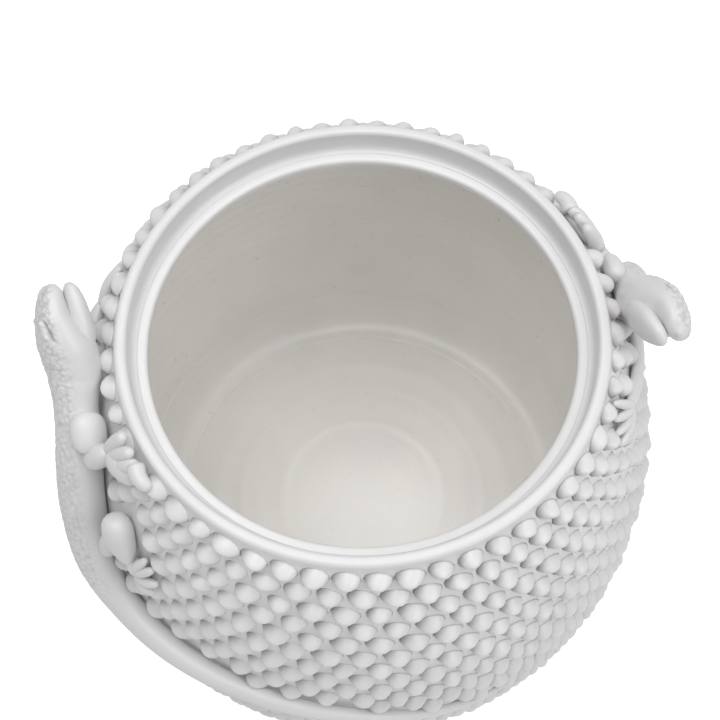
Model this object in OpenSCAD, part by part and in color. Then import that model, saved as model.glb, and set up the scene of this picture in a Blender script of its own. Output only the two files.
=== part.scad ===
// Glazed pottery canister: a studded barrel with a lid seat and two lizard handles.
// Millimetres. The jar stands on z = 0, its axis is z, and the lizards cling to the -X and +X sides.

/* [Jar] */
// Height of the top of the rim above the table
rim_top = 175.5; // [150:0.5:205]
// Radius of the mouth, inside the ledge that carries a lid
mouth_r = 73; // [62:0.5:80]
// Width of the lid ledge
ledge_w = 5.6; // [3:0.1:8]
// Thickness of the lid ledge at its inner edge
ledge_t = 4; // [2:0.5:7]
// Depth of the lid seat below the top of the rim
seat_depth = 9.5; // [6:0.5:14]
// Width of the lip outside the lid seat
lip_w = 4.4; // [3:0.1:7]
// Greatest radius of the clay wall, without its studs
belly_r = 108; // [97:0.5:120]
// Height of the widest place of the wall
belly_z = 75; // [60:1:90]
// Thickness of the wall
wall_t = 7; // [5:0.5:9]
// Thickness of the floor
floor_t = 8; // [5:0.5:12]
// Height of the foot ring under the floor
foot_h = 3; // [1.5:0.5:6]
// Width of the foot ring
foot_w = 10; // [6:0.5:16]
// How far the foot ring stands in from the outside of the wall
foot_inset = 5; // [3:0.5:8]
// Leg of the coil pressed into the corner of floor and wall
coil_leg = 11; // [6:0.5:14]

/* [Studs] */
// Number of stud rows from the rim down
stud_rows = 20; // [8:1:20]
// Studs in a full row
studs_round = 54; // [36:2:56]
// Distance of the first row from the rim's outer edge, measured down the wall
stud_first = 4; // [4:0.5:8]
// Distance from row to row, measured down the wall
stud_step = 8.1; // [7:0.1:8.2]
// Length of a stud along its row
stud_w = 8.8; // [5:0.2:9]
// Height of a stud, which is half its breadth across the row
stud_h = 3; // [2:0.1:3.6]

/* [Lizards] */
// Depth of the tail's tip below the top of the rim, measured upright
climb = 110; // [90:1:120]
// How far round the right lizard's body and tail run, as a share of the left one's
right_sway = 0.78; // [0.6:0.02:1]
// Width of the body at the ribs
body_w = 15.5; // [12:0.5:20]
// Height of the body off the wall at the ribs
body_h = 15.5; // [12:0.5:20]
// Width of the tail where it leaves the hips
tail_w = 13; // [9:0.5:15]
// Width of the head across the cheeks
head_w = 20; // [16:0.5:24]
// Height of the skull at the brow
skull_h = 11; // [9:0.5:13]
// Height of the lower jaw
jaw_h = 10; // [7:0.2:10.4]
// Thickness of a leg at the shoulder or hip
leg_d = 10; // [7:0.5:12]
// Thickness of a toe
toe_d = 3.6; // [2.5:0.1:4.5]
// Diameter of an eye bead
eye_d = 3.6; // [2.6:0.2:5]
// Clearance between a lizard's pieces, under a lizard, and at the corner of the lid seat
seat_gap = 0.2; // [0.1:0.05:0.3]

/* [Hidden] */
$fn = 96;
ledge_z = rim_top - seat_depth;
seat_r = mouth_r + ledge_w;
lip_r = seat_r + lip_w;
lip_round = lip_w * 0.32;
shoulder_z = rim_top - lip_round * 1.7;
floor_z = foot_h + floor_t;
arc_steps = 24;
round_steps = 6;

// The wall is one arc in section, from the rim's outer edge through the widest place.
bulge = belly_r - lip_r;
belly_rise = shoulder_z - belly_z;
belly_arc = (belly_rise * belly_rise + bulge * bulge) / (2 * bulge);
axis_r = belly_r - belly_arc;

// Radius of the wall's outside and inside at a height, and the tilt of its outward normal
function wall_r(z) = axis_r + sqrt(belly_arc * belly_arc - (z - belly_z) * (z - belly_z));
function inner_r(z) = axis_r + sqrt(pow(belly_arc - wall_t, 2) - (z - belly_z) * (z - belly_z));
function tilt(z) = asin((z - belly_z) / belly_arc);
function between(a, b, count) = [for (i = [0:count]) a + (b - a) * i / count];
function outer_line(a, b, count) = [for (z = between(a, b, count)) [wall_r(z), z]];
function inner_line(a, b, count) = [for (z = between(a, b, count)) [inner_r(z), z]];
function arc_line(c, r, from, to) = [for (q = between(from, to, round_steps)) c + r * [cos(q), sin(q)]];

// A point over the wall at azimuth az and height z, lifted by w along the wall's normal.
// Above the shoulder the wall's last slope goes straight on upward.
function level(z) = min(z, shoulder_z);
function normal(az, z) = [cos(tilt(level(z))) * cos(az), cos(tilt(level(z))) * sin(az), sin(tilt(level(z)))];
function over_wall(az, z, w) =
    [wall_r(level(z)) * cos(az), wall_r(level(z)) * sin(az), z] + w * normal(az, z);

// Vectors
function unit(v) = v / norm(v);
function square_to(v, t) = unit(v - (v * t) * t);
function flat(lists) = [for (l = lists) each l];

// Stations of a lizard's pieces are [azimuth, depth below the rim's top in hundredths of the climb,
// lift off the wall, half width, half height]. A smooth curve runs through them.
percent = climb / 100;
function station_z(s) = rim_top - percent * s[1];
function smooth_at(p, i, u) =
    let (a = p[max(i - 1, 0)], b = p[i], c = p[i + 1], d = p[min(i + 2, len(p) - 1)])
    b + u * (c - a) / 2 + u * u * (a - 2.5 * b + 2 * c - d / 2) + u * u * u * (1.5 * (b - c) + (d - a) / 2);
function smooth(p, steps) = [
    for (i = [0:len(p) - 2]) for (j = [0:steps - 1]) smooth_at(p, i, j / steps),
    p[len(p) - 1]
];

// A lizard that runs a smaller share of the way round keeps its head and draws in everything behind it
head_turn = 186;
function swayed(s, sway) = [
    for (k = [0:len(s) - 1]) k == 0 && s[0] > head_turn ? head_turn + (s[0] - head_turn) * sway : s[k]
];
function run(stations, sway) = [for (s = stations) swayed(s, sway)];
function centres(path) = [for (s = path) over_wall(s[0], station_z(s), s[2])];
function heading(c, i) = unit(c[min(i + 1, len(c) - 1)] - c[max(i - 1, 0)]);

ribs = body_w / 2;
depth = body_h / 2;
hip = tail_w / 2;
thigh = leg_d / 2;
toe = toe_d / 2;
belly_lift = depth + seat_gap;

body_stations = [
    [190, 11.4, belly_lift + depth * 0.24, ribs * 0.78, depth * 0.78],
    [193, 15, belly_lift + depth * 0.1, ribs * 0.9, depth * 0.9],
    [197, 20, belly_lift, ribs, depth * 0.96],
    [201.5, 27, belly_lift, ribs, depth],
    [205.2, 36, belly_lift, ribs, depth],
    [208.6, 46.5, belly_lift - depth * 0.04, ribs * 0.98, depth * 0.96],
    [212, 56.5, belly_lift - depth * 0.08, ribs * 0.94, depth * 0.92],
    [216, 64, belly_lift - depth * 0.14, hip, depth * 0.82]
];
tail_start = body_stations[len(body_stations) - 1];
joint_step = seat_gap * 2;
tail_stations = [
    [tail_start[0] + joint_step, tail_start[1] + joint_step / percent, tail_start[2], hip, tail_start[4]],
    [221, 69.2, hip * 0.92, hip * 0.86, hip * 0.86],
    [229, 71.6, hip * 0.82, hip * 0.74, hip * 0.76],
    [239, 72, hip * 0.72, hip * 0.64, hip * 0.66],
    [250, 73, hip * 0.62, hip * 0.54, hip * 0.56],
    [260, 75.4, hip * 0.54, hip * 0.46, hip * 0.48],
    [270, 79.6, hip * 0.46, hip * 0.38, hip * 0.4],
    [281, 87, hip * 0.38, hip * 0.3, hip * 0.31],
    [292, 95, hip * 0.28, hip * 0.2, hip * 0.2],
    [300, 100, hip * 0.2, hip * 0.1, hip * 0.1]
];
skull = skull_h / 2;
cheek = head_w / 2;
neck = body_stations[0];
skull_stations = [
    [neck[0] - joint_step, neck[1] - joint_step / percent, neck[2] + joint_step / 2, neck[3], neck[4]],
    [188.6, 10, neck[2] + skull * 0.2, cheek * 0.78, skull * 1.25],
    [186.6, 8, neck[2] + skull * 0.78, cheek * 0.9, skull * 1.22],
    [184, 5.2, neck[2] + skull * 1.48, cheek, skull * 1.1],
    [180.8, 2.2, neck[2] + skull * 1.92, cheek * 0.9, skull * 0.96],
    [177.8, 0, neck[2] + skull * 2.08, cheek * 0.7, skull * 0.8],
    [175.8, -1.2, neck[2] + skull * 2.14, cheek * 0.48, skull * 0.58],
    [174.8, -1.8, neck[2] + skull * 2.16, cheek * 0.2, skull * 0.24]
];
brow = 4;
eye_angle = 40;
jaw = jaw_h / 2;
jaw_stations = [
    [185.4, 8, neck[2] - jaw * 1.08, cheek * 0.45, jaw * 0.28],
    [183.8, 6, neck[2] - jaw * 0.74, cheek * 0.62, jaw * 0.6],
    [180.8, 2.9, neck[2] - jaw * 0.22, cheek * 0.7, jaw * 0.88],
    [177.6, -0.2, neck[2] + jaw * 0.4, cheek * 0.6, jaw * 0.84],
    [175.2, -2, neck[2] + jaw * 0.86, cheek * 0.42, jaw * 0.6],
    [174, -2.9, neck[2] + jaw * 1.16, cheek * 0.2, jaw * 0.3]
];

// A leg starts beside the body at a station of it, on the rim side (+1) or the floor side (-1), so many
// half thicknesses off its flank. It runs through its joints to its paw. Each of these places has its own
// thickness. Last come the way that the toes point, as an angle up from the row, and the leg's flatness.
upper_foreleg = [
    1, 1, 0.82, [[203.6, 12.6, thigh * 1.4], [205, 17.4, thigh * 1.3], [207, 10.6, thigh * 0.62]],
    [0.95, 0.95, 0.72, 0.62], 38, 1
];
lower_foreleg = [
    2, -1, 0, [[182, 27, thigh * 0.8], [169.5, 17, thigh * 0.6]],
    [0.8, 1, 0.7], 149, 0.55
];
upper_hindleg = [
    6, 1, 0.15, [[219, 20.5, thigh * 1.25], [221.4, 37.5, thigh * 0.75], [223, 40.2, thigh * 0.6]],
    [0.9, 1, 0.7, 0.55], 42, 1
];
lower_hindleg = [
    6, -1, 0, [[201.5, 66, thigh * 1.1], [199.5, 77, thigh * 0.7]],
    [0.86, 1, 0.65], 255, 0.75
];
leg_list = [upper_foreleg, lower_foreleg, upper_hindleg, lower_hindleg];
root_gap = 4 * seat_gap;
roll_at = [0, 0.05, 0.18, 0.5, 0.82, 0.95, 1];
roll_round = [0.3, 0.66, 0.95, 1.05, 0.95, 0.66, 0.3];
toe_count = 4;
toe_spread = 20;
toe_len = toe_d * 3.3;
ring_sides = 14;
toe_sides = 8;

lizard_pieces = [
    "body", "tail", "skull", "jaw", "eyes", "upper_foreleg", "lower_foreleg",
    "upper_hindleg", "lower_hindleg", "upper_feet", "lower_feet"
];

function row_name(row) = str("stud_row_", row < 10 ? "0" : "", row);

// Jar

// Barrel wall, from the foot to the level of the lid ledge
module jar_wall() {
    bevel = foot_inset;
    color("whitesmoke") rotate_extrude() polygon(concat(
        [[wall_r(foot_h) - bevel, foot_h]],
        outer_line(foot_h + bevel, ledge_z, arc_steps),
        inner_line(ledge_z, foot_h, arc_steps)
    ));
}

// Floor inside the foot of the wall
module floor_disc() {
    color("gainsboro") rotate_extrude() polygon(concat(
        [[0, floor_z], [0, foot_h]],
        inner_line(foot_h, floor_z, 3)
    ));
}

// Coil pressed into the corner of floor and wall, with a hollow face
module corner_coil() {
    top = floor_z + coil_leg;
    corner = [inner_r(floor_z), floor_z];
    high = [inner_r(top), top];
    low = corner - [coil_leg, 0];
    color("gainsboro") rotate_extrude() polygon(concat(
        [for (u = between(0, 1, round_steps))
            (1 - u) * (1 - u) * high + 2 * u * (1 - u) * corner + u * u * low],
        [for (z = between(floor_z, top, 3)) if (z < top) [inner_r(z), z]]
    ));
}

// Turned ring that the jar stands on
module foot_ring() {
    outer = wall_r(foot_h) - foot_inset;
    color("gainsboro") rotate_extrude() polygon([
        [outer - foot_w, 0],
        [outer - foot_h / 2, 0],
        [outer, foot_h / 2],
        [outer, foot_h],
        [outer - foot_w, foot_h]
    ]);
}

// Ring inside the mouth that a lid would rest on
module lid_ledge() {
    edge_z = ledge_z - ledge_t;
    low = edge_z - (inner_r(edge_z) - mouth_r);
    top_r = min(seat_r - seat_gap, inner_r(ledge_z));
    color("whitesmoke") rotate_extrude() polygon(concat(
        [[top_r, ledge_z], [mouth_r, ledge_z], [mouth_r, edge_z]],
        inner_line(low, ledge_z - seat_gap, 4)
    ));
}

// Raised ring round the lid seat, with a rounded top
module rim_lip() {
    crown = rim_top - lip_round;
    color("white") rotate_extrude() polygon(concat(
        [[seat_r, ledge_z]],
        outer_line(ledge_z, shoulder_z, 4),
        arc_line([lip_r - lip_round, crown], lip_round, 0, 90),
        arc_line([seat_r + lip_round, crown], lip_round, 90, 180)
    ));
}

// Studs

// One pinched stud lying along the y axis with its flat side on z = 0
module stud() {
    end = stud_w / 2;
    rotate([90, 0, 0]) rotate_extrude(angle = 180, $fn = 24) polygon([
        [0, -end],
        [stud_h * 0.3, -end],
        [stud_h * 0.8, -end * 0.72],
        [stud_h, -end * 0.24],
        [stud_h, end * 0.24],
        [stud_h * 0.8, end * 0.72],
        [stud_h * 0.3, end],
        [0, end]
    ]);
}

// Height of a row: equal steps along the wall's arc
function row_tilt(row) = tilt(shoulder_z) - (stud_first + (row - 1) * stud_step) / belly_arc * 180 / PI;
function row_z(row) = belly_z + belly_arc * sin(row_tilt(row));

// Places on the wall that a lizard covers: a point and the lizard's half width there, at the level of a
// stud's top. Pieces that pass over the studs cover nothing.
function covers(stations, steps) = [
    for (s = smooth(stations, steps))
        let (over = max(s[2] - stud_h, 0) / s[4])
        if (over < 1) concat(over_wall(s[0], station_z(s), 0), [s[3] * sqrt(1 - over * over)])
];
function covered_by(sway) = flat(concat(
    [covers(run(body_stations, sway), 3), covers(run(tail_stations, sway), 4)],
    [for (leg = leg_list) for (part = leg_parts(leg, sway)) covers(part, 2)],
    [for (leg = leg_list) for (k = [0:toe_count - 1]) covers(toe_stations(leg, k, sway), 2)]
));
left_covered = covered_by(1);
right_covered = covered_by(right_sway);
function is_free(az, z, covered) =
    let (p = over_wall(az, z, 0), along = [-sin(az), cos(az), 0])
    len([
        for (c = covered)
            let (d = p - [c[0], c[1], c[2]], round = d * along, up = norm(d - round * along))
            if (norm([round / (c[3] + stud_w / 2 + seat_gap), up / (c[3] + stud_h + seat_gap)]) < 1) 1
    ]) == 0;

// A row of studs, staggered against the rows beside it, that leaves room for both lizards
module stud_row(row) {
    z = row_z(row);
    pitch = 360 / studs_round;
    shift = row % 2 == 0 ? pitch / 2 : 0;
    color("whitesmoke")
        for (i = [0:studs_round - 1]) {
            az = i * pitch + shift;
            if (is_free(az, z, left_covered) && is_free(az + 180, z, right_covered))
                translate(over_wall(az, z, 0)) rotate([0, 90 - tilt(z), az]) stud();
        }
}

// Lizards, modelled on the -X side; the one on the +X side is turned half round and sways less

// A closed skin of oval rings through the stations. The underside stays off the wall.
module limb(stations, steps, sides = ring_sides) {
    path = smooth(stations, steps);
    c = centres(path);
    last = len(c) - 1;
    rings = [
        for (i = [0:last])
            let (
                t = heading(c, i),
                up = square_to(normal(path[i][0], station_z(path[i])), t),
                side = cross(t, up),
                room = path[i][2] - seat_gap
            )
            for (k = [0:sides - 1])
                let (q = 360 * k / sides)
                c[i] + path[i][3] * cos(q) * side + max(path[i][4] * sin(q), -room) * up
    ];
    skin = [
        for (i = [0:last - 1]) for (k = [0:sides - 1])
            let (a = i * sides + k, b = i * sides + (k + 1) % sides)
            each [[a, b, b + sides], [a, b + sides, a + sides]]
    ];
    head = len(rings);
    tip = last * sides;
    ends = [
        for (k = [0:sides - 1])
            let (m = (k + 1) % sides)
            each [[head, m, k], [head + 1, tip + k, tip + m]]
    ];
    polyhedron(points = concat(rings, [c[0], c[last]]), faces = concat(skin, ends));
}

// The place beside the body's flank where a leg starts, as the first three numbers of a station
function root_station(leg, sway) =
    let (
        off = root_gap + leg[2] * thigh,
        body = run(body_stations, sway),
        c = centres(body),
        s = body[leg[0]],
        t = heading(c, leg[0]),
        up = square_to(normal(s[0], station_z(s)), t),
        flank = c[leg[0]] + leg[1] * (s[3] + off) * cross(up, t),
        near_z = flank[2] - s[2] * up[2],
        out = norm([flank[0], flank[1]]) - wall_r(near_z),
        lift = out * cos(tilt(near_z)) + (flank[2] - near_z) * sin(tilt(near_z))
    )
    [atan2(flank[1], flank[0]) + 360, (rim_top - flank[2] + lift * sin(tilt(near_z))) / percent, lift];

// The joints of a leg move round with the place on the body where it starts
function joints(leg, sway) =
    let (s = body_stations[leg[0]])
    [for (j = leg[3]) j + [swayed(s, sway)[0] - s[0], 0, 0]];

// A leg is a chain of rounded rolls, each from one of its places to the next
function roll(from, to, thick_from, thick_to, flatness) = [
    for (i = [0:len(roll_at) - 1])
        let (u = roll_at[i], r = roll_round[i] * thigh * (thick_from + (thick_to - thick_from) * u))
        concat(from + (to - from) * u, [r, r * flatness])
];
function leg_parts(leg, sway) =
    let (places = concat([root_station(leg, sway)], joints(leg, sway)), thick = leg[4])
    [for (i = [0:len(places) - 2]) roll(places[i], places[i + 1], thick[i], thick[i + 1], leg[6])];

// Toes fan out from the paw, flat on the wall
function toe_stations(leg, k, sway) =
    let (
        paw = joints(leg, sway)[len(leg[3]) - 1],
        way = leg[5] + (k - (toe_count - 1) / 2) * toe_spread,
        mm = 180 / (PI * wall_r(level(station_z(paw)))),
        start = thigh * leg[4][len(leg[4]) - 1] + 2 * seat_gap
    )
    [for (u = [0, 0.5, 1])
        let (d = start + u * toe_len, thick = toe * (1 - 0.4 * u))
        [paw[0] + cos(way) * d * mm, paw[1] - sin(way) * d / percent, toe + seat_gap, thick, thick]];

// Two beads on the brow, one on each side of the skull
module eye_beads() {
    c = centres(skull_stations);
    s = skull_stations[brow];
    t = heading(c, brow);
    up = square_to(normal(s[0], station_z(s)), t);
    side = cross(t, up);
    eye = eye_d / 2;
    for (hand = [-1, 1])
        translate(c[brow] + (s[3] + eye) * cos(eye_angle) * hand * side + (s[4] + eye) * sin(eye_angle) * up)
            sphere(r = eye, $fn = 24);
}

// The rolls of a leg
module leg(leg, sway) {
    for (part = leg_parts(leg, sway)) limb(part, 1);
}

// The toes of a leg
module foot(leg, sway) {
    for (k = [0:toe_count - 1]) limb(toe_stations(leg, k, sway), 2, toe_sides);
}

module lizard(piece, sway) {
    if (piece == "body") limb(run(body_stations, sway), 4);
    if (piece == "tail") limb(run(tail_stations, sway), 4);
    if (piece == "skull") limb(run(skull_stations, sway), 3);
    if (piece == "jaw") limb(jaw_stations, 3);
    if (piece == "eyes") eye_beads();
    if (piece == "upper_foreleg") leg(upper_foreleg, sway);
    if (piece == "lower_foreleg") leg(lower_foreleg, sway);
    if (piece == "upper_hindleg") leg(upper_hindleg, sway);
    if (piece == "lower_hindleg") leg(lower_hindleg, sway);
    if (piece == "upper_feet") for (leg = [upper_foreleg, upper_hindleg]) foot(leg, sway);
    if (piece == "lower_feet") for (leg = [lower_foreleg, lower_hindleg]) foot(leg, sway);
}

jar_wall();
floor_disc();
corner_coil();
foot_ring();
lid_ledge();
rim_lip();
for (row = [1:stud_rows]) stud_row(row);
for (piece = lizard_pieces) {
    color("lightgray") lizard(piece, 1);
    color("lightgray") rotate(180) lizard(piece, right_sway);
}
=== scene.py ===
import bpy
import numpy as np
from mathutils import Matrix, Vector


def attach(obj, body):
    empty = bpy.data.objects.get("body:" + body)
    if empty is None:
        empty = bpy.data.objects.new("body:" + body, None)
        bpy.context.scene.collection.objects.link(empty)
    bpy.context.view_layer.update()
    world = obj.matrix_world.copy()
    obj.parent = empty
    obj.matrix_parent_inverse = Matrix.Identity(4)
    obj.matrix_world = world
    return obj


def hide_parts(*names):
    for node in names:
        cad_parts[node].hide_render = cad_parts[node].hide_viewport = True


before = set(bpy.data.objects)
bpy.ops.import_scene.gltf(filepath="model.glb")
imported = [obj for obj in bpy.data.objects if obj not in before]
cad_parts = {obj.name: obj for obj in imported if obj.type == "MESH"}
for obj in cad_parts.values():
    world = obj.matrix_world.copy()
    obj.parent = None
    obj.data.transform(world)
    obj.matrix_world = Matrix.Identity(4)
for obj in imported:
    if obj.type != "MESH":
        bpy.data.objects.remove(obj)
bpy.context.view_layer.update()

# Jar wall
# The barrel was thrown on a wheel in pale stoneware, 7 mm thick, and dipped in an opaque white glaze.
# It swells in one arc from the foot to the widest place and back in to the rim, and faint rings left
# by the thrower's fingers run round its inside.
mm = 0.001
rim_top = 175.5
belly_r = 108.0
belly_z = 75.0
wall_t = 7.0
lip_r = 83.0
shoulder_z = 173.1
ledge_z = 166.0
foot_h = 3.0
foot_inset = 5.0
bulge = belly_r - lip_r
belly_arc = ((shoulder_z - belly_z) ** 2 + bulge ** 2) / (2 * bulge)
axis_r = belly_r - belly_arc


def wall_r(z):
    """Outside radius of the clay at a height: the arc of a circle whose centre lies beyond the axis."""
    return axis_r + np.sqrt(belly_arc ** 2 - (z - belly_z) ** 2)


def inner_r(z):
    """Inside radius at a height: the same arc, one wall thickness in."""
    return axis_r + np.sqrt((belly_arc - wall_t) ** 2 - (z - belly_z) ** 2)


turns_fine = 288


def spun(profile, turns=turns_fine):
    """A closed outline of radii and heights carried once round the axis.

    The radius wavers by two slow waves of a tenth of a millimetre, as on any pot thrown by hand.
    """
    az = np.linspace(0, 2 * np.pi, turns, endpoint=False)
    waver = 0.12 * np.sin(2 * az + 0.6) + 0.08 * np.sin(3 * az + 2.1)
    share = np.clip(profile[:, :1] / 20, 0, 1)
    r = profile[:, :1] + share * waver
    z = np.broadcast_to(profile[:, 1:], r.shape)
    return np.stack([r * np.cos(az), r * np.sin(az), z], -1)


def skin(rings, loop=False):
    """Joins a grid of closed rings by quads, ring to ring.

    The last ring is joined to the first where loop is set, and otherwise a fan of triangles closes
    each end. Faces are turned outwards by the sign of the volume they enclose.
    """
    count, sides = rings.shape[:2]
    points = rings.reshape(-1, 3)
    i = np.arange(count if loop else count - 1)[:, None] * sides
    j = (i + sides) % (count * sides)
    k = np.arange(sides)
    m = (k + 1) % sides
    quads = np.stack([i + k, i + m, j + m, j + k], -1).reshape(-1, 4)
    fans = np.zeros((0, 3), int)
    if not loop:
        head = len(points)
        tip = (count - 1) * sides
        points = np.concatenate([points, rings[[0, -1]].mean(1)])
        ends = [np.stack([m, k, k * 0 + head], -1), np.stack([tip + k, tip + m, k * 0 + head + 1], -1)]
        fans = np.concatenate(ends)
    thirds = np.concatenate([quads[:, :3], quads[:, [0, 2, 3]], fans])
    a, b, c = (points[thirds[:, n]] for n in range(3))
    if (a * np.cross(b, c)).sum() < 0:
        quads, fans = quads[:, ::-1], fans[:, ::-1]
    return points, quads, fans


def piece(name, skins, finish, nodes, normals=None, shade_share=None):
    """Makes one object from skins in millimetres, rides it on the jar and hides the parts of model.glb that
    it stands for.

    The last argument gives each point a share of painted shade, from 0 on a crown to 1 in a recess,
    kept as a point attribute that darkens the glaze. normals, where given, are the points' normals, for
    pieces cut from one longer skin.
    """
    sizes = np.cumsum([0] + [len(s[0]) for s in skins])
    points = np.concatenate([s[0] for s in skins])
    quads = np.concatenate([s[1] + n for s, n in zip(skins, sizes)])
    fans = np.concatenate([s[2] + n for s, n in zip(skins, sizes)])
    corners = np.concatenate([quads.ravel(), fans.ravel()])
    starts = np.concatenate([np.arange(len(quads)) * 4, 4 * len(quads) + np.arange(len(fans)) * 3])
    mesh = bpy.data.meshes.new(name)
    mesh.vertices.add(len(points))
    mesh.vertices.foreach_set("co", (points * mm).ravel())
    mesh.loops.add(len(corners))
    mesh.loops.foreach_set("vertex_index", corners)
    mesh.polygons.add(len(starts))
    mesh.polygons.foreach_set("loop_start", starts)
    mesh.polygons.foreach_set("use_smooth", np.ones(len(starts), bool))
    mesh.update(calc_edges=True)
    mesh.validate()
    if normals is not None:
        mesh.normals_split_custom_set_from_vertices(normals)
    # Painted shade: each point's share of darkening of the glaze, read by the material.
    painted_shade = mesh.attributes.new("painted_shade", "FLOAT", "POINT")
    painted_shade.data.foreach_set("value", np.zeros(len(points)) if shade_share is None else shade_share)
    mesh.materials.append(finish)
    made = bpy.data.objects.new(name, mesh)
    bpy.context.scene.collection.objects.link(made)
    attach(made, "root")
    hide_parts(*nodes)


def linear(code):
    """A colour written as sRGB hex, as the linear values that a shader takes."""
    s = np.array([int(code[n:n + 2], 16) for n in (1, 3, 5)]) / 255
    return (*np.where(s <= 0.04045, s / 12.92, ((s + 0.055) / 1.055) ** 2.4), 1.0)


def add_node(tree, kind, inputs, **settings):
    """Adds a node with its settings; an input that is a socket is linked, and any other is a value."""
    made = tree.nodes.new(kind)
    for key, value in settings.items():
        setattr(made, key, value)
    for key, value in inputs.items():
        if isinstance(value, bpy.types.NodeSocket):
            tree.links.new(value, made.inputs[key])
        else:
            made.inputs[key].default_value = value
    return made


def white_glaze(name, body, drift_and_shade_colour, shine, peel):
    """Opaque tin-white glaze on stoneware: a satin coat, darkened towards a grey second colour by painted
    shade where a point attribute asks for it.

    The tone drifts over about 30 mm, the coat is uneven over 3 mm like orange peel, and a few iron
    specks of half a millimetre show through, about one in a 45 mm square.
    """
    made = bpy.data.materials.new(name)
    made.use_nodes = True
    tree = made.node_tree
    shader = tree.nodes["Principled BSDF"]
    place = tree.nodes.new("ShaderNodeTexCoord").outputs["Object"]
    drift = add_node(tree, "ShaderNodeTexNoise", {"Vector": place, "Scale": 1 / 0.03, "Detail": 2.0})
    drift_share = add_node(tree, "ShaderNodeMapRange",
                           {0: drift.outputs["Fac"], 1: 0.35, 2: 0.75, 3: 0.0, 4: 0.1})
    # Painted shade: a point attribute, from 0 to 1, that darkens the glaze towards its second colour in
    # recesses; it is added to the random drift of the tone.
    painted_shade = add_node(tree, "ShaderNodeAttribute", {}, attribute_name="painted_shade")
    drift_and_shade = add_node(tree, "ShaderNodeMath", {0: drift_share.outputs[0], 1: painted_shade.outputs["Fac"]},
                        operation="ADD", use_clamp=True)
    tone = add_node(tree, "ShaderNodeMix",
                    {"Factor": drift_and_shade.outputs[0], 6: linear(body), 7: linear(drift_and_shade_colour)}, data_type="RGBA")
    iron = add_node(tree, "ShaderNodeTexVoronoi", {"Vector": place, "Scale": 1 / 0.03})
    speck = add_node(tree, "ShaderNodeMapRange",
                     {0: iron.outputs["Distance"], 1: 0.003, 2: 0.008, 3: 0.4, 4: 0.0})
    colour = add_node(tree, "ShaderNodeMix",
                      {"Factor": speck.outputs[0], 6: tone.outputs[2], 7: linear("#8A7354")},
                      data_type="RGBA")
    tree.links.new(colour.outputs[2], shader.inputs["Base Color"])
    uneven = add_node(tree, "ShaderNodeTexNoise", {"Vector": place, "Scale": 1 / 0.003, "Detail": 3.0})
    rough = add_node(tree, "ShaderNodeMapRange",
                     {0: uneven.outputs["Fac"], 1: 0.3, 2: 0.7, 3: shine - 0.05, 4: shine + 0.07})
    tree.links.new(rough.outputs[0], shader.inputs["Roughness"])
    bump = add_node(tree, "ShaderNodeBump",
                    {"Height": uneven.outputs["Fac"], "Strength": peel, "Distance": 0.0004})
    tree.links.new(bump.outputs[0], shader.inputs["Normal"])
    shader.inputs["IOR"].default_value = 1.5
    shader.inputs["Coat Weight"].default_value = 0.25
    shader.inputs["Coat Roughness"].default_value = 0.18
    return made


# The inside glaze is painted lighter than the outside one: painted light that lifts the shade inside the
# jar. It covers the whole barrel, the floor and the corner coil.
inside_glaze = white_glaze("white_glaze_inside", "#F8F6F2", "#C9C9CF", 0.32, 0.02)


def finger_rings(along, depth):
    """Soft ridges left by the thrower's fingers: two waves, 9 and 23 mm apart, along a length in mm."""
    return depth * (0.6 * np.sin(2 * np.pi * along / 9.0) + 0.4 * np.sin(2 * np.pi * along / 23.0 + 1.1))


crisp = 0.05
wall_shade = 0.4
fade_top, fade_low, fade_over = 6.0, 12.0, 15.0
outside_z = np.append(np.linspace(foot_h + foot_inset, ledge_z - crisp, 64), ledge_z)
inside_z = np.append(ledge_z, np.linspace(ledge_z - crisp, foot_h, 150))
inside_fade = np.clip((ledge_z - fade_top - inside_z) / fade_over, 0, 1)
inside_fade = inside_fade * np.clip((inside_z - fade_low) / fade_over, 0, 1)
wall_outline = np.concatenate([
    np.stack([wall_r(outside_z), outside_z], -1),
    np.stack([inner_r(inside_z) + finger_rings(inside_z, 0.12) * inside_fade, inside_z], -1),
    [[wall_r(foot_h) - foot_inset, foot_h]],
])
# Painted shade: the barrel's outside, seen only between the studs, is darkened by a fixed share.
shade_between_studs = np.zeros((len(wall_outline), turns_fine))
shade_between_studs[:len(outside_z)] = wall_shade
piece("jar_barrel", [skin(spun(wall_outline), loop=True)], inside_glaze, ["jar_wall"],
      shade_share=shade_between_studs.ravel())

# Floor disc
# A disc of the same clay closes the barrel below. Its top keeps shallow rings from the thrower's fingers,
# three of which catch the light, and its underside was trimmed flat inside the foot ring.
floor_t = 8.0
floor_z = foot_h + floor_t
pole_r = 0.4
floor_rings = ((65.0, 0.36, 4.0), (54.0, 0.18, 2.2), (36.0, 0.22, 2.4))
floor_r = np.linspace(pole_r, inner_r(floor_z), 130)
floor_rise = sum(high * np.exp(-((floor_r - at) / wide) ** 2) for at, high, wide in floor_rings)
floor_rise = floor_rise + finger_rings(floor_r, 0.04) * np.clip(floor_r / 20, 0, 1)
under_r = np.linspace(inner_r(foot_h), pole_r, 12)
floor_outline = np.concatenate([
    np.stack([floor_r, floor_z + floor_rise], -1),
    np.stack([under_r, np.full(len(under_r), foot_h)], -1),
])
piece("jar_floor", [skin(spun(floor_outline, 192))], inside_glaze, ["floor_disc"])

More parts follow.
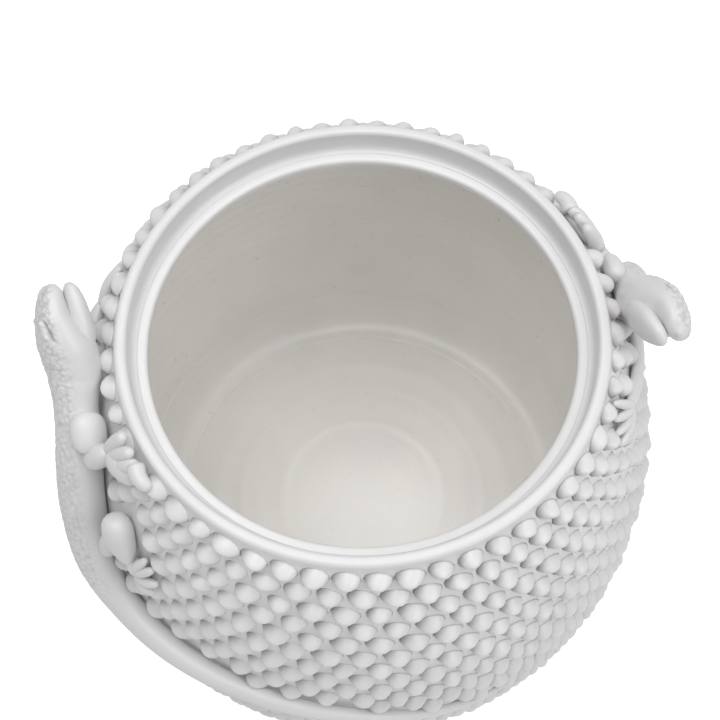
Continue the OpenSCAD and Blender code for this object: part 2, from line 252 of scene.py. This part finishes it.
# Corner coil
# A rope of soft clay was pressed into the corner of floor and wall and smoothed to a hollow curve that is
# feathered out up the wall. Its inner edge stands a little proud of the floor, a thin bright ring.
coil_leg = 11.0
coil_feather = 16.0
coil_lip = 0.3
coil_edge, coil_sink, coil_back = 0.6, 0.4, 0.3
corner = np.array([inner_r(floor_z), floor_z])
coil_top = np.array([inner_r(floor_z + coil_feather), floor_z + coil_feather])
coil_low = corner + (-coil_leg, coil_lip)
share = np.linspace(0, 1, 20)[:, None]
coil_bend = corner + (0, coil_lip)
coil_face = (1 - share) ** 2 * coil_top + 2 * share * (1 - share) * coil_bend + share ** 2 * coil_low
coil_back_z = np.linspace(floor_z - coil_sink, floor_z + coil_feather, 8)
coil_outline = np.concatenate([
    coil_face,
    [coil_low - (coil_edge * 0.75, coil_sink / 2), corner - (coil_leg + coil_edge, coil_sink)],
    np.stack([inner_r(coil_back_z) + coil_back, coil_back_z], -1),
])
coil_skin = skin(spun(coil_outline, 240), loop=True)
piece("jar_corner_coil", [coil_skin], inside_glaze, ["corner_coil"])

# Foot ring
# The ring that the jar stands on was turned with a tool when the clay was leather hard. It was wiped
# clean of glaze so that it would not stick to the kiln shelf, so its edge is bare, buff and matt.
foot_w = 10.0
foot_edge = 0.8
foot_outer = wall_r(foot_h) - foot_inset
foot_outline = np.array([
    [foot_outer - foot_w, foot_h],
    [foot_outer - foot_w, foot_edge],
    [foot_outer - foot_w + foot_edge, 0.0],
    [foot_outer - foot_h / 2, 0.0],
    [foot_outer - foot_edge / 2, 0.7],
    [foot_outer, foot_h / 2],
    [foot_outer, foot_h],
])
bare_clay = white_glaze("bare_stoneware", "#D3C8B8", "#BFB19D", 0.78, 0.5)
bare_clay.node_tree.nodes["Principled BSDF"].inputs["Coat Weight"].default_value = 0.0
piece("jar_foot", [skin(spun(foot_outline, 192), loop=True)], bare_clay, ["foot_ring"])

# Lid ledge
# A flange thrown inside the mouth carries the rim of a lid. Its inner edge is rounded by the sponge,
# and below it the clay slopes back to the wall. Its glaze is painted a little lighter than the rim's,
# painted light that lifts the shade under the lip.
mouth_r = 73.0
ledge_w = 5.6
ledge_t = 4.0
ledge_round, ledge_under = 1.5, 1.2
tuck = 0.2
seat_r = mouth_r + ledge_w
ledge_edge_z = ledge_z - ledge_t
ledge_low = ledge_edge_z - (inner_r(ledge_edge_z) - mouth_r)


def rounding(centre, radius, start, end, count=7):
    """Points on an arc about a centre, evenly spaced between two angles in degrees."""
    q = np.radians(np.linspace(start, end, count))
    return np.asarray(centre) + radius * np.stack([np.cos(q), np.sin(q)], -1)


ledge_back_z = np.linspace(ledge_low, ledge_z - tuck / 2, 6)
ledge_outline = np.concatenate([
    rounding((mouth_r + ledge_round, ledge_z - ledge_round), ledge_round, 90, 180),
    rounding((mouth_r + ledge_under, ledge_edge_z + ledge_under), ledge_under, 180, 225, 4),
    np.stack([inner_r(ledge_back_z) + tuck, ledge_back_z], -1),
    [[seat_r + tuck, ledge_z]],
])
# Painted light: the ledge glaze is a little lighter than the rim's, to lift the shade under the lip.
ledge_glaze = white_glaze("white_glaze_ledge", "#E6E5E6", "#CBC8C8", 0.42, 0.02)
piece("jar_lid_ledge", [skin(spun(ledge_outline), loop=True)], ledge_glaze, ["lid_ledge"])

# Rim lip
# The upright rim round the lid seat, 4.4 mm wide, has a soft rounded top and a small hollow where it
# meets the ledge, filled by glaze.
lip_round = 1.7
seat_hollow = 2.4
lip_ease = 0.6
lip_out_z = np.append(ledge_z, np.linspace(ledge_z + crisp, shoulder_z - lip_ease, 6))
lip_outline = np.concatenate([
    np.stack([wall_r(lip_out_z), lip_out_z], -1),
    rounding((lip_r - lip_round, rim_top - lip_round), lip_round, 10, 90),
    rounding((seat_r + lip_round, rim_top - lip_round), lip_round, 90, 180),
    rounding((seat_r - seat_hollow, ledge_z + seat_hollow), seat_hollow, 360, 270),
    [[seat_r - seat_hollow, ledge_z - tuck]],
])
outside_glaze = white_glaze("white_glaze_outside", "#E1E0E1", "#A3A09F", 0.34, 0.05)
piece("jar_rim_lip", [skin(spun(lip_outline), loop=True)], outside_glaze, ["rim_lip"])

# Lizards
# Two lizards of solid clay were modelled on a board, pressed on the two sides of the jar as handles and
# luted down with slip. The second is set half a turn round and bends less. The skin of the head, back and
# hips was stippled with a pointed tool; the flanks, legs and tail were left smooth.
climb = 110.0
right_sway = 0.78
head_turn = 186.0
body_half, body_deep = 7.75, 7.75
tail_half = 6.5
cheek, skull_half, jaw_half = 10.0, 5.5, 5.0
thigh, toe_half = 5.0, 1.8
seat_gap = 0.2
belly_lift = body_deep + seat_gap


def held_down(z):
    """A height, held under the shoulder's by a soft bend."""
    bend = 2.0
    return z - bend * np.logaddexp(0, (z - shoulder_z) / bend)


def wall_normal(az, z):
    """Outward direction of the wall at an azimuth in degrees and a height, the same above the shoulder."""
    az, lean = np.radians(az), np.arcsin((held_down(z) - belly_z) / belly_arc)
    return np.stack([np.cos(lean) * np.cos(az), np.cos(lean) * np.sin(az), np.sin(lean)], -1)


def over_wall(az, z, lift):
    """The point at a distance off the wall, above an azimuth in degrees and a height."""
    r = wall_r(held_down(z))
    foot = np.stack([r * np.cos(np.radians(az)), r * np.sin(np.radians(az)), z + 0 * r], -1)
    return foot + np.asarray(lift)[..., None] * wall_normal(az, z)


def through(stations, steps):
    """A smooth curve through stations: cubics, with the slope at a station half its neighbours' distance.

    A station is an azimuth in degrees, a depth below the rim in hundredths of the climb, a lift off the
    wall, a half width and a half height.
    """
    p = np.asarray(stations, float)
    n = np.arange(len(p) - 1)
    a, b, c, d = (p[k][:, None] for k in (np.maximum(n - 1, 0), n, n + 1, np.minimum(n + 2, len(p) - 1)))
    u = np.linspace(0, 1, steps, endpoint=False)[None, :, None]
    curve = b + u * (c - a) / 2 + u ** 2 * (a - 2.5 * b + 2 * c - d / 2)
    curve = curve + u ** 3 * (1.5 * (b - c) + (d - a) / 2)
    return np.concatenate([curve.reshape(-1, p.shape[1]), p[-1:]])


def line_of(path, climbing=1.0):
    """Middle points of a path of stations, and the unit directions ahead, off the wall and to the side.

    The way ahead takes in only a share of the path's climb off the wall. The less it takes in, the more
    upright are the rings.
    """
    z = rim_top - climb / 100 * path[:, 1]
    middle = over_wall(path[:, 0], z, path[:, 2])
    ahead = np.gradient(over_wall(path[:, 0], z, path[:, 2] * climbing), axis=0)
    ahead /= np.linalg.norm(ahead, axis=1)[:, None]
    off = wall_normal(path[:, 0], z)
    off = off - (off * ahead).sum(1)[:, None] * ahead
    off /= np.linalg.norm(off, axis=1)[:, None]
    return middle, ahead, off, np.cross(ahead, off)


def limb(path, sides, settle=0.3, climbing=1.0):
    """Oval rings carried along a path, tops away from the wall and undersides pressed on it."""
    middle, _, off, across = line_of(path, climbing)
    q = np.linspace(0, 2 * np.pi, sides, endpoint=False)
    wide = path[:, 3:4] * np.cos(q)
    high = np.maximum(path[:, 4:5] * np.sin(q), -(path[:, 2:3] + settle))
    return middle[:, None] + wide[..., None] * across[:, None] + high[..., None] * off[:, None]


def outward(rings):
    """Unit normals of a grid of rings: the cross product of its two tangents, away from the middles."""
    along = np.gradient(rings, axis=0)
    around = np.roll(rings, -1, 1) - np.roll(rings, 1, 1)
    n = np.cross(along, around)
    n /= np.linalg.norm(n, axis=-1, keepdims=True) + 1e-9
    away = rings - rings.mean(1, keepdims=True)
    return n * np.sign((n * away).sum(-1).mean())


def grains(points, size):
    """Rounded grains packed in space, from 0 in the creases to 1 on top.

    Each cube of the given size holds one centre at a place that hangs on the cube's own number, and the
    height falls with the distance to the nearest centre.
    """
    spread = np.array([[127.1, 269.5, 113.5], [311.7, 183.3, 271.9], [74.7, 246.1, 124.6]])
    scaled = points / size
    cube = np.floor(scaled)
    near = np.full(points.shape[:-1], 9.0)
    for step in np.ndindex(3, 3, 3):
        home = cube + step - np.ones(3)
        chance = np.sin(home @ spread) * 43758.5453
        spot = home + 0.1 + 0.8 * (chance - np.floor(chance))
        near = np.minimum(near, np.linalg.norm(scaled - spot, axis=-1))
    return np.clip(1 - (near / 0.8) ** 2, 0, 1)


def bell(value, at, wide):
    """A smooth hump of height 1 at a place, of a given half width."""
    return np.exp(-((value - at) / wide) ** 2)


def step_up(value, low, high):
    """Rises smoothly from 0 at low to 1 at high."""
    t = np.clip((value - low) / (high - low), 0, 1)
    return t * t * (3 - 2 * t)


def swayed(stations, sway):
    """Stations whose azimuths behind the head are drawn in to a share of their way round.

    The body of a lizard that sways less is also pressed nearer to the wall.
    """
    press, press_turn = 0.6, 6
    p = np.array(stations, float)
    p[:, 2::2] *= 1 - press * (1 - sway) * step_up(p[:, :1], head_turn, head_turn + press_turn)
    p[:, 0] = np.where(p[:, 0] > head_turn, head_turn + (p[:, 0] - head_turn) * sway, p[:, 0])
    return p


def on_both_sides(name, make):
    """Makes a lizard's piece for the left lizard, and for the right one with less sway, half a turn round.

    make gives the skins for a sway, and the points' normals and shares of painted shade, each or None.
    """
    for side, sway, turn in (("left", 1.0, (1, 1, 1)), ("right", right_sway, (-1, -1, 1))):
        skins, normals, shade_share = make(sway)
        shapes = [(points * turn, quads, fans) for points, quads, fans in skins]
        ways = None if normals is None else normals * turn
        piece(f"{side}_lizard_{name}_clay", shapes, lizard_glaze, [f"{side}_lizard_{name}"],
              ways, shade_share)


lizard_glaze = white_glaze("white_glaze_lizard", "#DEDDDE", "#B4B1B0", 0.40, 0.06)

# Lizard skull, body and tail
# They are one roll of clay, thick at the head and ribs and drawn out to a long tail that winds nearly a
# quarter of the way round the jar. The skin runs on from piece to piece without a step.
neck_lift = belly_lift + body_deep * 0.24
skull_stations = [
    [174.8, -1.8, neck_lift + skull_half * 2.16, cheek * 0.16, skull_half * 0.2],
    [175.8, -1.2, neck_lift + skull_half * 2.14, cheek * 0.48, skull_half * 0.58],
    [177.8, 0, neck_lift + skull_half * 2.08, cheek * 0.7, skull_half * 0.8],
    [180, 1.6, neck_lift + skull_half * 1.86, cheek * 0.86, skull_half * 1.03],
    [181.6, 3, neck_lift + skull_half * 1.45, cheek * 0.94, skull_half * 1.35],
    [184, 5.4, neck_lift + skull_half * 0.84, cheek, skull_half * 1.74],
    [186.6, 8, neck_lift + skull_half * 0.4, cheek * 0.95, skull_half * 1.71],
    [188.6, 10, neck_lift + skull_half * 0.12, cheek * 0.87, skull_half * 1.62],
]
body_stations = [
    [190, 11.4, neck_lift + skull_half * 0.03, cheek * 0.82, skull_half * 1.54],
    [193, 15, belly_lift + body_deep * 0.14, body_half * 0.98, body_deep * 0.94],
    [197, 20, belly_lift, body_half, body_deep * 0.96],
    [201.5, 27, belly_lift, body_half, body_deep],
    [205.2, 36, belly_lift, body_half, body_deep],
    [208.6, 46.5, belly_lift - body_deep * 0.04, body_half * 0.98, body_deep * 0.96],
    [212, 56.5, belly_lift - body_deep * 0.08, body_half * 0.94, body_deep * 0.92],
    [216, 64, belly_lift - body_deep * 0.14, tail_half, body_deep * 0.82],
]
tail_stations = [
    [221, 69.2, tail_half * 0.92, tail_half * 0.86, tail_half * 0.86],
    [229, 71.6, tail_half * 0.82, tail_half * 0.74, tail_half * 0.76],
    [239, 72, tail_half * 0.72, tail_half * 0.64, tail_half * 0.66],
    [250, 73, tail_half * 0.62, tail_half * 0.54, tail_half * 0.56],
    [260, 75.4, tail_half * 0.54, tail_half * 0.46, tail_half * 0.48],
    [270, 79.6, tail_half * 0.46, tail_half * 0.38, tail_half * 0.4],
    [281, 87, tail_half * 0.38, tail_half * 0.3, tail_half * 0.31],
    [292, 95, tail_half * 0.28, tail_half * 0.2, tail_half * 0.2],
    [300, 100, tail_half * 0.2, tail_half * 0.1, tail_half * 0.1],
]
rows_each, skin_sides, upright = 20, 144, 0.3
spine_stations = skull_stations + body_stations + tail_stations
spine = np.arange((len(spine_stations) - 1) * rows_each + 1)[:, None] / rows_each
round_angle = np.linspace(0, 360, skin_sides, endpoint=False)[None]
neck_row = len(skull_stations) * rows_each
hip_row = neck_row + (len(body_stations) - 1) * rows_each
hip_at = hip_row / rows_each
slit_start, slit_length = 3.1, 1.5
coarse_grain, fine_grain = (1.7, 0.38), (1.0, 0.18)
grain_full, crease_shade_share = 0.46, 0.6
back = step_up(np.sin(np.radians(round_angle)), 0.1, 0.6)
stipple = back * (1 - step_up(spine, hip_at - 1, hip_at + 1.5)) * step_up(spine, 0.2, 1.2)
slit_at = (spine - slit_start) / slit_length
slit_span = step_up(slit_at, 0, 0.2) * (1 - step_up(slit_at, 0.8, 1))
head_form = sum(
    slit_span * bell(flank, 52 - 20 * slit_at + above, wide) * high
    for flank in (round_angle, 180 - round_angle)
    for above, wide, high in ((0, 5, -1.1), (13, 9, 0.7))
)
nostrils = bell(spine, 1.2, 0.25) * (bell(round_angle, 50, 10) + bell(round_angle, 130, 10))
head_form = head_form - 0.5 * nostrils


def lizard_skin(sway):
    """The path and rings of skull, body and tail in one, their normals, and each point's painted shade.

    The back is raised by packed grains of two sizes and heights; the skull has a slit with a ridge over it
    for each eye and two nostrils.
    """
    path = through(swayed(spine_stations, sway), rows_each)
    rings = limb(path, skin_sides, climbing=upright)
    grain = grains(rings, coarse_grain[0]) * coarse_grain[1]
    grain = grain + grains(rings + 50, fine_grain[0]) * fine_grain[1]
    rings = rings + outward(rings) * (stipple * grain + head_form)[..., None]
    # Painted shade: darker between the grains of the stippled back, in the eye slits and in the nostrils.
    crease_shade = stipple * (1 - np.clip(grain / grain_full, 0, 1)) * crease_shade_share + np.clip(-head_form, 0, 1)
    return path, rings, outward(rings), crease_shade


lizard_skins = {sway: lizard_skin(sway) for sway in (1.0, right_sway)}


def lizard_part(rows):
    """The maker of one length of a lizard's skin, whose normals run on across its cuts."""
    def make(sway):
        path, rings, ways, crease_shade = lizard_skins[sway]
        ahead = line_of(path[rows])[1]
        normals = np.concatenate([ways[rows].reshape(-1, 3), [-ahead[0], ahead[-1]]])
        return [skin(rings[rows])], normals, np.append(crease_shade[rows].ravel(), (0, 0))
    return make


on_both_sides("skull", lizard_part(slice(0, neck_row + 1)))
on_both_sides("body", lizard_part(slice(neck_row, hip_row + 1)))
on_both_sides("tail", lizard_part(slice(hip_row, None)))

# Lizard jaw
# The lower jaw is a separate tongue of clay under the skull. It is pressed on from the throat to the
# mouth, where a crease parts the two, and stands a little open at the tip.
jaw_stations = [
    [185.6, 7.2, neck_lift - jaw_half * 0.1, cheek * 0.4, jaw_half * 0.6],
    [183.6, 5.2, neck_lift - jaw_half * 0.02, cheek * 0.62, jaw_half * 0.88],
    [181, 2.9, neck_lift + jaw_half * 0.16, cheek * 0.72, jaw_half * 0.92],
    [177.8, -0.1, neck_lift + jaw_half * 0.6, cheek * 0.66, jaw_half * 0.76],
    [175.4, -1.9, neck_lift + jaw_half * 0.98, cheek * 0.48, jaw_half * 0.6],
    [174.1, -2.8, neck_lift + jaw_half * 1.2, cheek * 0.3, jaw_half * 0.36],
    [173.7, -3.1, neck_lift + jaw_half * 1.26, cheek * 0.1, jaw_half * 0.1],
]
jaw_skin = skin(limb(through(jaw_stations, 10), 64, climbing=upright))
on_both_sides("jaw", lambda sway: ([jaw_skin], None, None))

# Lizard eyes
# Each eye is a bead of clay pushed deep into the slit under the brow, so that little of it shows.
# A groove scored round the bead parts the pupil from the lid.
eye_r = 1.8
eye_sunk = -0.75 * eye_r
eye_angle = np.radians(40)
brow_station = 3
brow_path = np.array(skull_stations + body_stations, float)
brow_middle, _, brow_off, brow_across = (part[brow_station] for part in line_of(brow_path))
brow_wide, brow_high = brow_path[brow_station, 3:]


def bead(middle, axis, radius):
    """A ball with a scored lid: rings from pole to pole about an axis, a groove round the pupil."""
    polar = np.linspace(0.02, np.pi - 0.02, 20)[:, None]
    q = np.linspace(0, 2 * np.pi, 28, endpoint=False)
    one = np.cross(axis, (0, 0, 1))
    one /= np.linalg.norm(one)
    two = np.cross(axis, one)
    r = radius * (1 - 0.10 * bell(polar, 0.75, 0.12) + 0.05 * bell(polar, 1.0, 0.15))
    ring = np.cos(q)[:, None] * one + np.sin(q)[:, None] * two
    return middle + (r * np.sin(polar))[..., None] * ring + (r * np.cos(polar))[..., None] * axis


eye_skins = []
for hand in (-1, 1):
    eye_way = (brow_wide + eye_sunk) * np.cos(eye_angle) * hand * brow_across
    eye_way = eye_way + (brow_high + eye_sunk) * np.sin(eye_angle) * brow_off
    eye_skins.append(skin(bead(brow_middle + eye_way, eye_way / np.linalg.norm(eye_way), eye_r)))
on_both_sides("eyes", lambda sway: (eye_skins, None, None))

# Lizard legs
# Four short legs, rolled from the same clay, are pressed against the flanks. Shoulder and thigh are full,
# low lobes; the upper fore leg bends back under the shoulder, and its palm lies on the wall below the rim.
legs = {
    "upper_foreleg": (1, (
        ((196.6, 11.0, 7.9), (203.8, 16.6, 7.2), 0.84, 0.82, 1.4),
        ((203.4, 21.4, 6.8), (206.6, 10.4, 4.8), 0.84, 0.74, 1.0),
        ((206.6, 11.0, 3.8), (215.8, 7.4, 3.0), 1.05, 0.86, 0.85),
    )),
    "lower_foreleg": (2, (
        ((198.5, 24.8, 7.2), (179.6, 27.2, 3.8), 1.05, 1.0, 0.7),
        ((184.4, 28.2, 3.8), (168.2, 16.0, 3.0), 1.0, 0.72, 0.7),
    )),
    "upper_hindleg": (6, (
        ((213.6, 52.0, 4.6), (215.2, 36.0, 4.2), 0.75, 0.7, 1.0),
        ((214.8, 25.6, 6.0), (220.6, 41.6, 3.6), 1.3, 0.64, 0.95),
        ((220.4, 39.5, 3.2), (222.6, 45.0, 2.4), 0.56, 0.5, 1.0),
    )),
    "lower_hindleg": (6, (
        ((210.6, 58.0, 6.6), (200.2, 67.6, 5.0), 1.0, 1.0, 0.75),
        ((202.0, 63.6, 5.0), (199.3, 79.0, 3.4), 1.0, 0.68, 0.75),
    )),
}


def drawn_in(station, sway):
    """How far a place beside the body moves when the lizard sways less, in degrees."""
    return swayed(body_stations, sway)[station, 0] - body_stations[station][0]


def roll(start, end, thick_start, thick_end, flatness, count=36):
    """Stations of a roll of clay between two places, full in the middle and rounded at both ends.

    A place is an azimuth, a depth and a lift; thicknesses are shares of the thigh's half thickness.
    Its thickness is a line from one end to the other, times the height of a squarish oval: one less a power
    of the distance from the middle, and the root of that power.
    """
    start, end = np.array(start), np.array(end)
    u = (1 - np.cos(np.linspace(0.02, 0.98, count) * np.pi)) / 2
    power = 2.5
    fullness = 1.05 * (1 - np.abs(2 * u - 1) ** power) ** (1 / power)
    r = thigh * fullness * (thick_start + (thick_end - thick_start) * u)
    return np.column_stack([start + (end - start) * u[:, None], r, r * flatness])


def leg_rolls(leg, sway):
    """Stations of a leg's rolls, moved round with the body; a lizard that sways less has flatter legs."""
    station, rolls = legs[leg]
    flatten = (1, 1, sway ** 2, 1, sway ** 2)
    shift = (drawn_in(station, sway), 0, 0, 0, 0)
    return [roll(*one) * flatten + shift for one in rolls]


for part in legs:
    on_both_sides(part, lambda sway, part=part: (
        [skin(limb(stations, 48)) for stations in leg_rolls(part, sway)], None, None))

# Lizard feet
# Each foot has four toes, rolls of clay spread out and pressed down over the studs. The fingers of the
# upper hand reach to the rim, and the last one lies along it.
feet = {
    "upper_foreleg": (2.7, (
        ((205.8, 11.0), (207.8, -0.4)), ((207.6, 10.2), (211.8, 0.6)),
        ((210.2, 9.4), (214.6, 2.2)), ((214.2, 3.8), (220.0, 4.4)),
    )),
    "lower_foreleg": (toe_half, (
        ((169.2, 16.2), (164.8, 4.7)), ((169.0, 16.4), (162.1, 7.8)),
        ((168.9, 16.7), (160.4, 12.0)), ((168.8, 17.0), (159.7, 16.8)),
    )),
    "upper_hindleg": (1.9, (
        ((221.6, 43.0), (223.8, 33.4)), ((222.0, 44.0), (226.0, 34.8)),
        ((222.6, 45.5), (227.7, 39.9)), ((222.8, 47.0), (227.3, 46.6)),
    )),
    "lower_hindleg": (toe_half, (
        ((199.2, 78.0), (193.0, 84.0)), ((199.3, 78.2), (195.2, 88.5)),
        ((199.5, 78.4), (198.6, 91.0)), ((199.7, 78.2), (202.2, 90.0)),
    )),
}
knuckle = 1.1


def toe_stations(leg, sway, count=14):
    """Stations of the toes of a foot: straight from the paw to the tip, arched, with a round tip."""
    half, toes = feet[leg]
    u = np.sin(np.linspace(0, 0.985, count) * np.pi / 2)[:, None]
    thick = half * (1.15 - 0.3 * u) * np.cbrt(1 - u ** 6)
    lift = half * 1.2 + knuckle * np.sin(np.pi * u)
    shift = (drawn_in(legs[leg][0], sway), 0)
    lines = [start + (np.array(tip) - start) * u + shift for start, tip in toes]
    return [np.hstack([line, lift, thick, thick]) for line in lines]


for part, pair in (("upper_feet", ("upper_foreleg", "upper_hindleg")),
                   ("lower_feet", ("lower_foreleg", "lower_hindleg"))):
    on_both_sides(part, lambda sway, pair=pair: (
        [skin(limb(toe, 20)) for leg in pair for toe in toe_stations(leg, sway)], None, None))

# Stud rows
# About a thousand studs were rolled as pellets, pressed on the wall in staggered rows and pinched to a
# blunt ridge, none quite like the next. Painted shade darkens the foot of each stud, most at its left end.
# The rows leave room for the lizards' bodies, tails and legs.
stud_rows, studs_round = 20, 54
stud_first, stud_step = 4.0, 8.1
stud_w, stud_h = 8.8, 3.0
stud_tall, stud_lean, stud_twist = 3.7, (-0.05, -0.2), -8.0
stud_close = 0.78
# Painted shade at the foot of each stud.
stud_foot_shade = 0.7
size_spread, lean_spread, twist_spread = 0.06, 0.1, 8.0


def covered_by(sway):
    """Places on the wall under a lizard, with its half width there at the level of a stud's top.

    Head and toes are left out, because they lie over the studs.
    """
    paths = [through(swayed(body_stations, sway), 3)]
    paths.append(through(swayed([body_stations[-1]] + tail_stations, sway), 4))
    for leg in legs:
        paths += leg_rolls(leg, sway)
    path = np.concatenate(paths)
    over = np.maximum(path[:, 2] - stud_h, 0) / path[:, 4]
    path, over = path[over < 1], over[over < 1]
    places = over_wall(path[:, 0], rim_top - climb / 100 * path[:, 1], 0 * over)
    return places, path[:, 3] * np.sqrt(1 - over ** 2)


def is_free(az, seats, covered):
    """Whether each stud has room: an oval of its own size, drawn in a little, misses all covered places."""
    places, reach = covered
    along = np.stack([-np.sin(np.radians(az)), np.cos(np.radians(az)), 0 * az], -1)
    apart = seats[:, None] - places
    sideways = (apart * along[:, None]).sum(-1)
    upward = np.linalg.norm(apart - sideways[..., None] * along[:, None], axis=-1)
    room = np.hypot(sideways / (reach + stud_w / 2 + seat_gap), upward / (reach + stud_h + seat_gap))
    return (room >= stud_close).all(1)


chance = np.random.default_rng(20)
stud_rise = np.array([-0.06, 0.10, 0.54, 0.88, 1.0])
stud_long = np.array([1.14, 1.03, 0.82, 0.46, 0.14])
stud_broad = np.array([1.14, 1.00, 0.66, 0.30, 0.08])
stud_q = np.linspace(0, 2 * np.pi, 12, endpoint=False)
stud_corner = 1 + 0.03 * np.sin(3 * stud_q)
# Painted shade low on the left end of each stud.
left_end_shade = np.outer([1, 0.9, 0.2, 0, 0], step_up(np.cos(stud_q - np.radians(172)), 0.2, 0.95))


def stud_skins(az, z):
    """Oblong blunt ridges on the wall: rings that close in along its normal and lean down.

    Size, lean and twist differ from stud to stud, and the outline is a little pointed below.
    """
    count = len(az)
    foot, off = over_wall(az, z, 0 * az), wall_normal(az, z)
    round_way = np.stack([-np.sin(np.radians(az)), np.cos(np.radians(az)), 0 * az], -1)
    up_way = np.cross(off, round_way)
    size = 1 + size_spread * chance.standard_normal((count, 3))
    lean = stud_lean + lean_spread * chance.standard_normal((count, 2))
    twist = np.radians(stud_twist + twist_spread * chance.standard_normal(count))[:, None, None]
    rise = size[:, :1] * stud_tall * stud_rise
    tip_shift = rise[..., None] * lean[:, None]
    long = (size[:, 1:2] * stud_w / 2 * stud_long)[..., None] * np.cos(stud_q) * stud_corner
    broad = (size[:, 2:] * stud_h * stud_broad)[..., None] * np.sin(stud_q) * stud_corner
    wide = long * np.cos(twist) - broad * np.sin(twist) + tip_shift[..., :1]
    high = long * np.sin(twist) + broad * np.cos(twist) + tip_shift[..., 1:]
    return (foot[:, None, None] + wide[..., None] * round_way[:, None, None]
            + high[..., None] * up_way[:, None, None] + rise[..., None, None] * off[:, None, None])


left_covered, right_covered = covered_by(1.0), covered_by(right_sway)
top_lean = np.arcsin((shoulder_z - belly_z) / belly_arc)
pitch = 360 / studs_round
for row in range(1, stud_rows + 1):
    row_lean = top_lean - (stud_first + (row - 1) * stud_step) / belly_arc
    row_z = belly_z + belly_arc * np.sin(row_lean)
    row_az = np.arange(studs_round) * pitch + (pitch / 2 if row % 2 == 0 else 0)
    seats = over_wall(row_az, np.full(studs_round, row_z), 0 * row_az)
    free = is_free(row_az, seats, left_covered) & is_free(row_az + 180, seats * (-1, -1, 1), right_covered)
    shapes = stud_skins(row_az[free], np.full(free.sum(), row_z))
    painted_shade = np.tile(np.append(left_end_shade.ravel(), (stud_foot_shade, 0)), len(shapes))
    piece(f"studs_{row:02d}", [skin(shape) for shape in shapes], outside_glaze,
          [f"stud_row_{row:02d}"], shade_share=painted_shade)

# Floor and light
# A white sweep under the jar, one broad soft light from above, a weaker one from the right, and even light
# from all round. To the camera the surroundings are plain white.
room_light, floor_white = 0.45, 0.55
floor = bpy.data.meshes.new("studio_floor")
floor.from_pydata([(-6, -6, 0), (6, -6, 0), (6, 6, 0), (-6, 6, 0)], [], [(0, 1, 2, 3)])
floor_object = bpy.data.objects.new("studio_floor", floor)
bpy.context.scene.collection.objects.link(floor_object)
sweep = bpy.data.materials.new("white_paper_sweep")
sweep.use_nodes = True
sweep_shader = sweep.node_tree.nodes["Principled BSDF"]
sweep_shader.inputs["Base Color"].default_value = linear("#F4F4F4")
sweep_shader.inputs["Roughness"].default_value = 0.9
sweep_shader.inputs["Emission Color"].default_value = (1, 1, 1, 1)
seen = sweep.node_tree.nodes.new("ShaderNodeLightPath")
lift = add_node(sweep.node_tree, "ShaderNodeMath",
                {0: seen.outputs["Is Camera Ray"], 1: floor_white}, operation="MULTIPLY")
sweep.node_tree.links.new(lift.outputs[0], sweep_shader.inputs["Emission Strength"])
floor.materials.append(sweep)

world = bpy.data.worlds.new("studio")
world.use_nodes = True
bpy.context.scene.world = world
sky = world.node_tree
around = sky.nodes["Background"]
seen = sky.nodes.new("ShaderNodeLightPath")
level = add_node(sky, "ShaderNodeMapRange",
                 {0: seen.outputs["Is Camera Ray"], 1: 0.0, 2: 1.0, 3: room_light, 4: 1.0})
around.inputs["Color"].default_value = (1, 1, 1, 1)
sky.links.new(level.outputs[0], around.inputs["Strength"])


light_aim = np.array([0, 0, 0.12])


def softbox(name, place, size, power):
    """A square area light at a place in metres, turned towards the upper part of the jar."""
    lamp = bpy.data.lights.new(name, "AREA")
    lamp.size = size
    lamp.energy = power
    made = bpy.data.objects.new(name, lamp)
    made.location = place
    way = light_aim - place
    made.rotation_euler = Vector(way).to_track_quat("-Z", "Y").to_euler()
    bpy.context.scene.collection.objects.link(made)


softbox("key_light", np.array([-0.1, 0.06, 1.3]), 1.1, 8.6)
softbox("side_light", np.array([0.85, -0.5, 1.0]), 0.8, 4.2)

# Camera
# It stands 438 mm from the middle of the lid seat and looks down at it at 63 degrees.
aim = np.array([0, 0, ledge_z]) * mm
camera_lean = np.radians(63.22)
camera_far = 0.438
picture_px, focal_px, shift_px = 720, 1288, (-2.4, -20.8)
camera_place = aim + camera_far * np.array([0, -np.cos(camera_lean), np.sin(camera_lean)])
lens = bpy.data.cameras.new("camera")
lens.sensor_width = 36.0
lens.lens = focal_px / picture_px * lens.sensor_width
lens.shift_x = shift_px[0] / picture_px
lens.shift_y = shift_px[1] / picture_px
lens.clip_start = 0.01
camera = bpy.data.objects.new("camera", lens)
camera.location = camera_place
camera.rotation_euler = Vector(aim - camera_place).to_track_quat("-Z", "Y").to_euler()
bpy.context.scene.collection.objects.link(camera)
bpy.context.scene.camera = camera
bpy.context.scene.view_settings.view_transform = "Standard"
